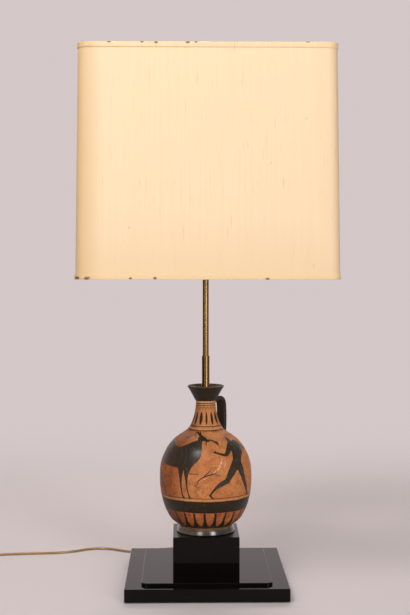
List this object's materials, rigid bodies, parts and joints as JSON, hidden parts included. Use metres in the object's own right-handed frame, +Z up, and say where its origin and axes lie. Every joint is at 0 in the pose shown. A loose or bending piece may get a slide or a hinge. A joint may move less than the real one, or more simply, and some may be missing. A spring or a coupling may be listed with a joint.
{
  "type": "table lamp on a lekythos",
  "caption": "Table lamp: painted pottery oil flask on a stepped black base, telescopic brass stem, square silk shade, lead with coil and plug.",
  "frame": {"origin": "on the surface that the lamp stands on, under the stem's centre line", "axes": "+Z up along the stem, -Y towards the front with the painted picture, +X to the right"},
  "size_m": [0.5578, 0.3408, 0.6822],
  "materials": {
    "felt": "dense wool felt",
    "black_lacquer": "polished black lacquer on wood",
    "steel": "zinc plated",
    "brass": "polished, aged",
    "black_glaze": "glossy black-brown slip glaze",
    "painted_clay": "burnished orange clay with painted black figures and bands",
    "cork": "cork",
    "gold_flex": "clear gold sheath over two cores",
    "plug_plastic": "moulded gold plastic",
    "nickel": "nickel plated",
    "porcelain": "white porcelain",
    "black_plastic": "moulded thermoset plastic",
    "copper": "copper cores",
    "frosted_glass": "inside frosted",
    "white_wire": "white enamelled steel wire",
    "shade_lining": "stiff white lining",
    "shade_silk": "cream slub silk stretched on the lining",
    "shade_binding": "ribbon binding"
  },
  "bodies": {
    "base": {"base_felt": "felt", "base_plate": "black_lacquer", "raised_plate": "black_lacquer", "plinth_block": "black_lacquer", "base_screws": "steel", "foot_nut": "brass", "foot_washer": "brass", "vessel_foot": "black_glaze", "vessel_body": "painted_clay", "vessel_mouth": "black_glaze", "vessel_handle": "black_glaze", "neck_bush": "cork", "mouth_washer": "brass", "mouth_nut": "brass", "stem_sleeve": "brass", "lead_lower": "gold_flex", "cord_bush": "gold_flex", "flex_run": "gold_flex", "flex_coil": "gold_flex", "flex_tail": "gold_flex", "plug_body": "plug_plastic", "plug_pins": "nickel"},
    "stem": {"stem_tube": "brass", "holder_nipple": "brass", "holder_cap": "brass", "holder_insert": "porcelain", "holder_shell": "black_plastic", "holder_thread": "nickel", "holder_contact": "brass", "shade_ring_lower": "black_plastic", "shade_ring_upper": "black_plastic", "lead_upper": "gold_flex", "core_wires": "copper", "bulb_glass": "frosted_glass", "bulb_cap": "nickel", "bulb_contact": "black_plastic"},
    "shade": {"shade_spider": "white_wire", "shade_wire_bottom": "white_wire", "shade_wire_top": "white_wire", "shade_liner": "shade_lining", "shade_cloth": "shade_silk", "shade_trim_bottom": "shade_binding", "shade_trim_top": "shade_binding"},
    "switch": {"switch_bar": "black_plastic"}
  },
  "joints": [
    {"name": "stem_slide", "type": "slide", "parent": "base", "child": "stem", "axis": [0, 0, 1], "range_m": [-0.08, 0.05]},
    {"name": "shade_turn", "type": "hinge", "parent": "stem", "child": "shade", "pos_m": [0, 0, 0.4404], "axis": [0, 0, 1], "continuous": true},
    {"name": "switch_push", "type": "slide", "parent": "stem", "child": "switch", "axis": [1, 0, 0], "range_m": [0, 0.006]}
  ]
}
